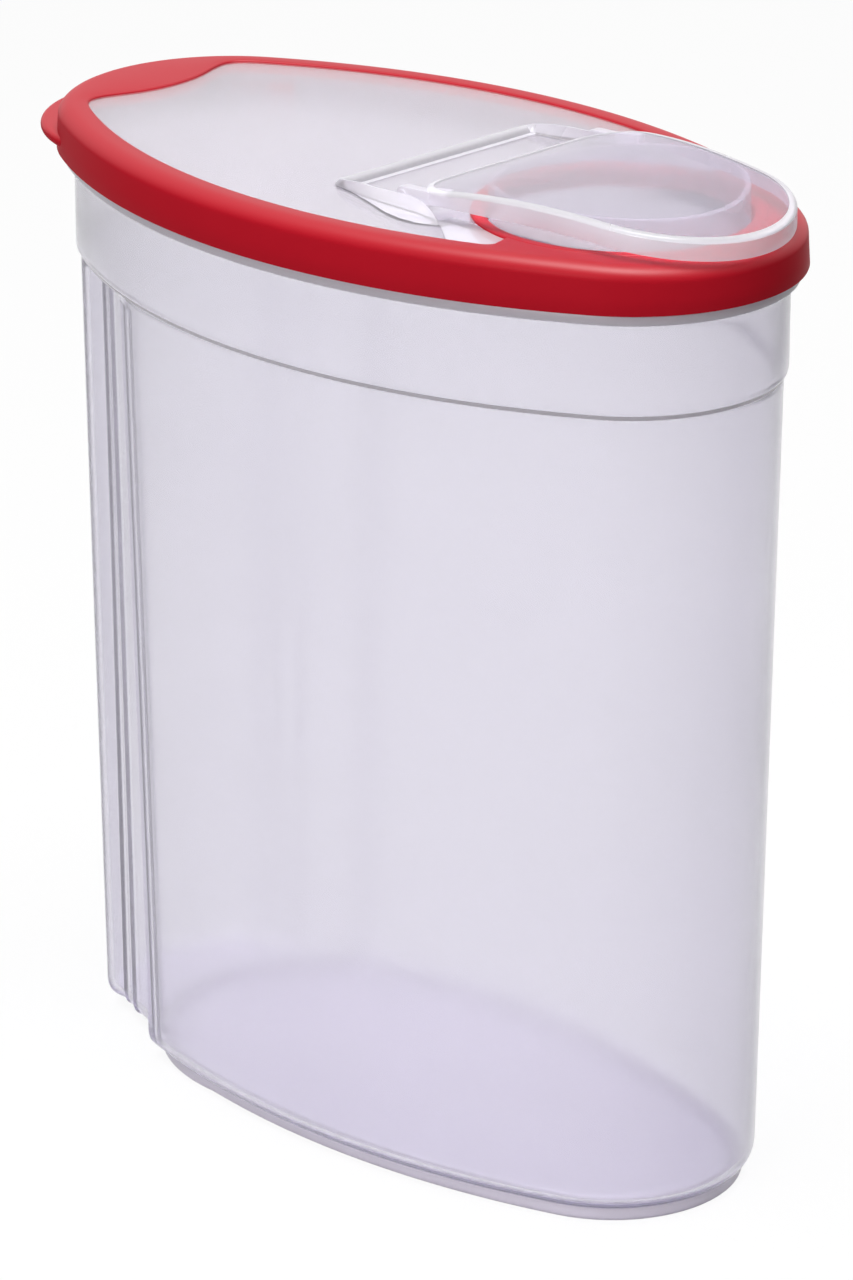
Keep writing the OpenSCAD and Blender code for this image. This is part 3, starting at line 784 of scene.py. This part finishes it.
def along(places, x):
    """A value that runs smoothly between its values at some places along x: straight lines, then
    the mean of their neighbours weighted by a bell."""
    at, value = np.array(places).T
    fine = np.linspace(at[0], at[-1], 200)
    bell = np.exp(-0.5 * ((fine[:, None] - fine[None, :]) / BELL) ** 2)
    straight = np.interp(fine, at, value)
    return np.interp(x, fine, bell @ straight / bell.sum(1))


def well_edge(x):
    """Half width of the well at x."""
    return along(WELL_PLACES, x)


def step_width(x):
    """Width of the well's side: steep between the cheeks and a slope along the pocket."""
    return STEP_W + POCKET_SLOPE * smooth((x - SLOPE_FROM) / SLOPE_LENGTH)


def leaf_edge(x):
    """Half width at the outer edge of the cheeks, which is never inside their crest."""
    return np.maximum(along(LEAF_PLACES, x), well_edge(x) + CREST_W + LEAF_LEAST)


def along_cheek(x):
    """True beside the hinge cheeks."""
    return (x > CREST_PLACES[0][0]) & (x < CREST_PLACES[-1][0])


def plate_height(x, y):
    """The plate's upper face: level, less the well, plus the ridge and the cheeks. A cheek is a
    crest along the well's side and a straight slope from it down to the cheek's outer edge, and
    the ridge is half an ellipse across."""
    side = np.abs(y)
    edge = well_edge(x)
    crest = edge + CREST_W
    slope = np.clip((leaf_edge(x) - side) / (leaf_edge(x) - crest), 0.0, 1.0)
    cheek = along(CREST_PLACES, x) * slope * along_cheek(x)
    inside = np.clip((edge - side) / step_width(x), 0.0, 1.0)
    floor = -WELL_DEPTH + WELL_RISE * smooth((x - RISE_FROM) / RISE_LENGTH)
    ends = smooth((RIDGE_HALF - side) / RIDGE_END)
    across = np.clip(1.0 - ((x - WELL_X + RIDGE_W / 2) / (RIDGE_W / 2)) ** 2, 0.0, 1.0)
    ridge = RIDGE_H * ends * np.sqrt(across)
    well = np.where(x < WELL_X, 0.0, floor * smooth((x - WELL_X) / WELL_END))
    return PANEL_TOP + np.maximum(ridge, cheek * (1.0 - inside) + well * inside * (x >= WELL_X))


def plate_half(side):
    """Half of the plate: x runs to the pour ring's line and y from the middle, or the ring, to the
    rim. The columns gather at the well's edges, so that its creases stay sharp."""
    ring_r = POUR_R + RING_W - PLATE_UNDER
    ring_start = POUR_X - ring_r
    edge_a, edge_b, edge_r = (size - CROWN_W + PLATE_UNDER for size in (RIM_A, RIM_B, RIM_END_R))
    last_turn = math.acos((POUR_X - POCKET_END_X - 0.6) / ring_r)
    rear = -edge_a * np.cos(np.linspace(0.0, 1.45, 70))
    ridge = np.linspace(WELL_X - RIDGE_W - 0.6, WELL_X + 2.4, 41)
    step = np.linspace(rear[-1], ridge[0], 10)[1:-1]
    well = np.linspace(ridge[-1], ring_start, 42)[1:]
    turn = POUR_X - ring_r * np.cos(np.linspace(0.0, last_turn, 56)[1:])
    x = np.sort(np.concatenate([rear, step, ridge, well, turn]))
    inner = np.sqrt(np.maximum(ring_r ** 2 - np.maximum(POUR_X - x, 0.0) ** 2, 0.0))
    inner = np.where(x < ring_start, 0.0, inner)
    outer = oval_y(edge_a, edge_b, edge_r, x)
    low = np.clip(well_edge(x) - step_width(x), inner, outer)
    edge = np.clip(well_edge(x), low, outer)
    crest = np.clip(well_edge(x) + CREST_W, edge, outer)
    leaf = np.clip(leaf_edge(x), crest, outer)
    stops = [inner, low, edge, crest, leaf, outer]
    counts = [14, 6, 3, 12, 12]
    y = [start[:, None] + (end - start)[:, None] * np.linspace(0.0, 1.0, count)[None, :]
         for start, end, count in zip(stops[:-1], stops[1:], counts)]
    y = np.concatenate(y, 1)
    x = np.broadcast_to(x[:, None], y.shape)
    return x, side * y


def plate(shells):
    """The plate is an upper face and a lower face a wall's thickness below it, closed round their
    edge. The lower face has no ridge and no cheeks."""
    near_x, near_y = plate_half(1.0)
    far_x, far_y = plate_half(-1.0)
    x = np.concatenate([far_x[:, ::-1], near_x], 1)
    y = np.concatenate([far_y[:, ::-1], near_y], 1)
    top = np.stack([x, y, plate_height(x, y)], -1)
    low = np.stack([x, y, np.minimum(plate_height(x, y), PANEL_TOP) - WALL], -1)
    split = x.shape[1] // 2
    ring = int(np.argmax(np.abs(y[:, split]) > 0.0)) - 1
    side = np.abs(y)
    ridge = (x > WELL_X - RIDGE_W) & (x < WELL_X + RIDGE_W / 2) & (side < RIDGE_HALF)
    cheek = along_cheek(x) & (side >= well_edge(x) - STEP_W) & (side < leaf_edge(x))
    pocket = (x > POCKET_FROM) & (side < well_edge(x)) & (side > EAR_Y)
    under = np.where(cheek | pocket, MILKY, CLEAR)
    # The ridge gets the painted highlight
    skins = np.where(ridge, PAINTED_HIGHLIGHT, under)
    for part, inner, outer in ((slice(0, split), -1, 0), (slice(split, None), 0, -1)):
        shells.grid(top[:, part], skins=skins[:, part])
        shells.grid(low[:, part], skins=under[:, part])
        shells.grid(np.stack([top[:, part][:, outer], low[:, part][:, outer]]))
        shells.grid(np.stack([top[ring:, part][:, inner], low[ring:, part][:, inner]]))
        shells.grid(np.stack([top[:, part][-1], low[:, part][-1]]))


def plug(shells):
    """The plug skirt: one rounded profile carried round the oval inside the mouth."""
    outline, normal = oval_loop(RIM_A, RIM_B, RIM_END_R, 160, 200)
    top = PANEL_LOW - PLATE_GAP
    profile = [(PLUG_IN + 0.5, PLUG_LOW), (PLUG_IN + 0.15, PLUG_LOW + 0.15),
               (PLUG_IN, PLUG_LOW + 0.5), (PLUG_IN, top), (PLUG_IN + PLUG_T, top),
               (PLUG_IN + PLUG_T, PLUG_LOW + 0.5), (PLUG_IN + PLUG_T - 0.15, PLUG_LOW + 0.15),
               (PLUG_IN + PLUG_T - 0.5, PLUG_LOW)]
    rows = [lift(outline - normal * inset, z) for inset, z in profile]
    shells.grid(np.stack(rows), wrap_rows=True, wrap_columns=True)


def lid_plate():
    """The clear plate with its plug skirt, as one mesh."""
    shells = Shells()
    plate(shells)
    plug(shells)
    made = shells.piece("lid_plate_skin", "lid", LID_SKINS, edge=24.0)
    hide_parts("lid_panel")
    return made


# The pouring cap

CAP_REAR = 32.5
CAP_T = 1.6
CAP_SKIRT_T = 1.5
CAP_SKIRT_H = 5.9
CAP_TIP_R = 33.5
CAP_TIP_X = RIM_A - CAP_TIP_R
CAP_SLANT = math.radians(8.4)
CAP_CORNER_R = 15.0
CAP_FALL = 4.6
CAP_REAR_FALL = 3.8
CAP_EDGE_R = 1.3
# The cap's face inside its edge: how far in it starts, and the shares that draw it in to a point
CAP_FACE_IN = 3.4
CAP_SHARES = (0.0, 0.15, 0.3, 0.45, 0.6, 0.72, 0.82, 0.9, 0.95, 0.985)
CAP_UNDER_SHARES = (0.985, 0.9, 0.72, 0.45, 0.0)
CAP_FACE_ROWS = len(CAP_SHARES)
# Rows of the rounded upper edge that carry the painted highlight, and clear rows under the top
CAP_PAINTED_HIGHLIGHT_ROWS = 7
CAP_UNDER_ROWS = len(CAP_UNDER_SHARES) + 1
PLUG_RING_R = 35.0
PLUG_RING_T = 1.7
PLUG_RING_DROP = 4.2
EAR_T = 3.0
EAR_R = 2.4
EAR_REACH = 10.0
EAR_ROOT = 6.8
EAR_EDGE_R = 0.4
PIN_R = 1.5
PIN_REACH = 0.35
PIN_ROOT = 0.5
PIN_EDGE_R = 0.1


def cap_loop(inset):
    """The cap's outline: a tip arc, straight sides that spread to the rear, corner arcs and a rear
    line."""
    line_x = CAP_TIP_X + CAP_TIP_R * math.sin(CAP_SLANT)
    line_y = CAP_TIP_R * math.cos(CAP_SLANT)
    corner_x = CAP_REAR + CAP_CORNER_R
    spread_y = (line_x - corner_x) * math.tan(CAP_SLANT)
    corner_y = line_y + spread_y - CAP_CORNER_R / math.cos(CAP_SLANT)
    tip = np.linspace(0.0, math.pi / 2 - CAP_SLANT, 60)
    corner = np.linspace(math.pi / 2 - CAP_SLANT, math.pi, 40)
    tip_r = CAP_TIP_R - inset
    corner_r = CAP_CORNER_R - inset
    arc = np.stack([CAP_TIP_X + tip_r * np.cos(tip), tip_r * np.sin(tip)], 1)
    bend = np.stack([corner_x + corner_r * np.cos(corner), corner_y + corner_r * np.sin(corner)], 1)
    side = arc[-1] + (bend[0] - arc[-1]) * np.linspace(0.0, 1.0, 30)[1:-1, None]
    rear = bend[-1] * np.stack([np.ones(15), np.linspace(1.0, 0.0, 15)], 1)[1:]
    half = np.concatenate([arc, side, bend, rear])
    return np.concatenate([half, half[-2:0:-1] * np.array([1.0, -1.0])])


def front_fall(x):
    """How far the skirt and the top curve down to the tip: the square of the way to it."""
    return CAP_FALL * way_to_tip(x) ** 2


def cap_dip(x):
    """How far the cap's top lies below its highest level, in front and towards the rear edge."""
    rear = CAP_REAR_FALL * np.clip((POUR_X - x) / (POUR_X - CAP_REAR), 0.0, 1.0) ** 2
    return front_fall(x) + rear


def cap_row(inset, drop, share=1.0):
    """A row of the cap at a depth below its curved top; share draws it in towards the plug's
    centre."""
    centre = np.array([POUR_X, 0.0])
    loop = centre + (cap_loop(inset) - centre) * share
    return lift(loop, CAP_TOP - cap_dip(loop[:, 0]) - drop)


def skirt_row(inset, up):
    """A row of the skirt at a height above its lower edge, which is level at the rear."""
    loop = cap_loop(inset)
    return lift(loop, CAP_TOP - CAP_SKIRT_H - front_fall(loop[:, 0]) + up)


def cap_plate(shells):
    """The cap's top and skirt are one closed skin of rows: out over the face and its rounded edge,
    down the skirt, up its inner side and in under the top."""
    rows = [cap_row(CAP_FACE_IN, 0.0, share) for share in CAP_SHARES]
    rows += [cap_row(2.2, 0.0)]
    rows += [cap_row(CAP_EDGE_R * (1 - math.sin(u)), CAP_EDGE_R * (1 - math.cos(u)))
             for u in np.linspace(0.0, math.pi / 2, 8)]
    rows += [skirt_row(0.0, 0.5), skirt_row(0.12, 0.15), skirt_row(0.45, 0.0)]
    rows += [skirt_row(CAP_SKIRT_T - 0.4, 0.0), skirt_row(CAP_SKIRT_T, 0.3)]
    rows += [cap_row(CAP_SKIRT_T, CAP_T + 0.15), cap_row(CAP_SKIRT_T + 0.4, CAP_T)]
    rows += [cap_row(2.4, CAP_T)]
    rows += [cap_row(CAP_FACE_IN, CAP_T, share) for share in CAP_UNDER_SHARES]
    skins = np.full(len(rows), CLEAR)
    skins[CAP_FACE_ROWS:-CAP_UNDER_ROWS] = MILKY
    # The rounded upper edge gets the painted highlight
    skins[CAP_FACE_ROWS:CAP_FACE_ROWS + CAP_PAINTED_HIGHLIGHT_ROWS] = PAINTED_HIGHLIGHT
    shells.grid(np.stack(rows), wrap_columns=True, skins=skins[:, None])


def plug_ring(shells):
    """The ring that closes the pour opening: a rounded profile turned about the plug's centre, up
    to the under side of the cap's top, where its height is None."""
    low = CROWN_TOP - PLUG_RING_DROP
    inner = PLUG_RING_R - PLUG_RING_T
    profile = [(inner, None), (inner, low + 0.6), (inner + 0.2, low + 0.15), (inner + 0.6, low),
               (PLUG_RING_R - 0.8, low), (PLUG_RING_R - 0.25, low + 0.25),
               (PLUG_RING_R, low + 0.9), (PLUG_RING_R, None)]
    around = np.linspace(0.0, 2 * math.pi, 200, endpoint=False)
    rows = []
    for r, z in profile:
        circle = np.stack([POUR_X + r * np.cos(around), r * np.sin(around)], 1)
        under = CAP_TOP - cap_dip(circle[:, 0]) - CAP_T - PLATE_GAP
        rows.append(lift(circle, under if z is None else z))
    shells.grid(np.stack(rows), wrap_rows=True, wrap_columns=True, skins=PLUG)


def slab(shells, profile, low_y, high_y, round_r):
    """A plate in the side view between two places across, with its edges rounded by drawing them
    in, and both ends closed to a point in their middle."""
    middle = profile.mean(0)
    size = np.hypot(*(profile - middle).T).mean()
    rows = []
    for u in np.linspace(0.0, math.pi / 2, 5):
        share = 1.0 - round_r * (1.0 - math.sin(u)) / size
        rows.append((middle + (profile - middle) * share, low_y + round_r * (1.0 - math.cos(u))))
    rows += [(ring, low_y + high_y - y) for ring, y in rows[::-1]]
    closing = np.broadcast_to(middle, profile.shape)
    rows = [(closing, low_y)] + rows + [(closing, high_y)]
    points = [np.stack([ring[:, 0], np.full(len(ring), y), ring[:, 1]], 1) for ring, y in rows]
    shells.grid(np.stack(points), wrap_columns=True, skins=MILKY)


def ears(shells):
    """Two ears that carry the pins: a round end on the hinge that widens to its root at the cap's
    corner."""
    turn = np.radians(np.linspace(100.0, 278.0, 25))
    eye = np.stack([HINGE_X + EAR_R * np.cos(turn), HINGE_Z + EAR_R * np.sin(turn)], 1)
    low = CAP_TOP - CAP_SKIRT_H
    x = HINGE_X + EAR_REACH + np.array([EAR_ROOT, EAR_ROOT, 0.0])
    z = np.array([low, CAP_TOP - cap_dip(x[1]) - CAP_T / 2, CAP_TOP - cap_dip(x[2]) - CAP_T / 2])
    profile = np.concatenate([eye, np.stack([x, z], 1)])
    around = np.linspace(0.0, 2 * math.pi, 32, endpoint=False)
    pin = np.stack([HINGE_X + PIN_R * np.cos(around), HINGE_Z + PIN_R * np.sin(around)], 1)
    for side in (1.0, -1.0):
        ear = sorted((side * EAR_Y, side * (EAR_Y + EAR_T)))
        slab(shells, profile, ear[0], ear[1], EAR_EDGE_R)
        rod = sorted((side * (EAR_Y + EAR_T - PIN_ROOT), side * (EAR_Y + EAR_T + PIN_REACH)))
        slab(shells, pin, rod[0], rod[1], PIN_EDGE_R)


def cap():
    """The cap with its plug ring, ears and pins, as one mesh."""
    shells = Shells()
    cap_plate(shells)
    plug_ring(shells)
    ears(shells)
    made = shells.piece("pouring_cap_skin", "cap", CAP_SKINS, edge=40.0,
                        weld=0.004)
    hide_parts("spout_cap")
    return made


# Stage, lamps and camera

FLOOR_HALF = 6.0
FLOOR_SHADE = 0.55
FLOOR_GLOW = 1.07
# Share of the glow in what the camera sees of the floor, which leaves it the object's shadow
FLOOR_WHITE = 0.85
WORLD_FILL = 0.1
WORLD_WHITE = (0.94, 0.94, 0.95)
LAMPS_AIM = (0.0, 0.0, 0.15)
# Each lamp's place, size and power
LAMPS = {
    "key": ((0.15, -0.2, 2.3), (1.2, 0.9), 50.0),
    "front": ((0.6, -2.1, 0.7), (0.6, 0.7), 20.0),
    "rear": ((0.1, 1.9, 1.8), (1.2, 0.8), 4.0),
}


def stage_floor():
    """A pale square floor that glows only where it is seen, so that it shows white with the
    object's shadow on it."""
    mesh = bpy.data.meshes.new("floor")
    half = FLOOR_HALF
    corners = [(-half, -half, 0), (half, -half, 0), (half, half, 0), (-half, half, 0)]
    mesh.from_pydata(corners, [], [(0, 1, 2, 3)])
    floor = bpy.data.objects.new("floor", mesh)
    bpy.context.scene.collection.objects.link(floor)
    material, nodes, links, shader, output = new_material("white_floor")
    shader.inputs["Base Color"].default_value = (FLOOR_SHADE, FLOOR_SHADE, FLOOR_SHADE, 1.0)
    shader.inputs["Roughness"].default_value = 0.9
    shader.inputs["Specular IOR Level"].default_value = 0.1
    glow = nodes.new("ShaderNodeEmission")
    glow.inputs["Strength"].default_value = FLOOR_GLOW
    mix = nodes.new("ShaderNodeMixShader")
    seen_white(nodes, links, mix.inputs["Fac"], FLOOR_WHITE)
    links.new(shader.outputs["BSDF"], mix.inputs[1])
    links.new(glow.outputs["Emission"], mix.inputs[2])
    links.new(mix.outputs["Shader"], output.inputs["Surface"])
    mesh.materials.append(material)


def seen_white(nodes, links, target, share):
    """share where the camera, a reflection or clear plastic sees the surface, and 0 for the light
    it gives."""
    path = nodes.new("ShaderNodeLightPath")
    first = nodes.new("ShaderNodeMath")
    first.operation = "MAXIMUM"
    both = nodes.new("ShaderNodeMath")
    both.operation = "MAXIMUM"
    links.new(path.outputs["Is Camera Ray"], first.inputs[0])
    links.new(path.outputs["Is Glossy Ray"], first.inputs[1])
    links.new(first.outputs[0], both.inputs[0])
    links.new(path.outputs["Is Transmission Ray"], both.inputs[1])
    scaled = nodes.new("ShaderNodeMath")
    scaled.operation = "MULTIPLY"
    scaled.inputs[1].default_value = share
    links.new(both.outputs[0], scaled.inputs[0])
    links.new(scaled.outputs[0], target)


def world():
    """A weak even fill light, which shows white behind the object."""
    sky = bpy.data.worlds.new("studio")
    bpy.context.scene.world = sky
    sky.use_nodes = True
    nodes, links = sky.node_tree.nodes, sky.node_tree.links
    fill = nodes["Background"]
    fill.inputs["Color"].default_value = (1.0, 1.0, 1.0, 1.0)
    fill.inputs["Strength"].default_value = WORLD_FILL
    white = nodes.new("ShaderNodeBackground")
    white.inputs["Color"].default_value = (*WORLD_WHITE, 1.0)
    white.inputs["Strength"].default_value = 1.0
    mix = nodes.new("ShaderNodeMixShader")
    seen_white(nodes, links, mix.inputs["Fac"], 1.0)
    links.new(fill.outputs[0], mix.inputs[1])
    links.new(white.outputs[0], mix.inputs[2])
    links.new(mix.outputs[0], nodes["World Output"].inputs["Surface"])


def lamp(name, place, size, power):
    """A rectangular soft lamp that faces the object."""
    light = bpy.data.lights.new(name, "AREA")
    light.shape = "RECTANGLE"
    light.size, light.size_y = size
    light.energy = power
    made = bpy.data.objects.new(name, light)
    made.location = place
    facing = Vector(LAMPS_AIM) - Vector(place)
    made.rotation_euler = facing.to_track_quat("-Z", "Y").to_euler()
    bpy.context.scene.collection.objects.link(made)


# The camera's place and aim, fitted to the edges of the lid, the walls and the foot
CAMERA_AT = (1108.0, -1122.0, 752.0)
CAMERA_AZIMUTH = 44.593
CAMERA_ELEVATION = 21.268
CAMERA_LENS = 111.9


def camera():
    """The camera at the photograph's viewing angle, level from side to side."""
    lens = bpy.data.cameras.new("camera")
    lens.sensor_fit = "VERTICAL"
    lens.sensor_height = 24.0
    lens.lens = CAMERA_LENS
    lens.clip_end = 50.0
    made = bpy.data.objects.new("camera", lens)
    made.location = (CAMERA_AT[0] * MM + MIDDLE * MM, CAMERA_AT[1] * MM, CAMERA_AT[2] * MM)
    turned_up = math.radians(90.0 - CAMERA_ELEVATION)
    made.rotation_euler = (turned_up, 0.0, math.radians(CAMERA_AZIMUTH))
    bpy.context.scene.collection.objects.link(made)
    bpy.context.scene.camera = made


camera()
tub()
rim()
lid_plate()
cap()
stage_floor()
world()
for lamp_name, (lamp_place, lamp_size, lamp_power) in LAMPS.items():
    lamp(lamp_name, lamp_place, lamp_size, lamp_power)

scene = bpy.context.scene
scene.view_settings.view_transform = "Standard"
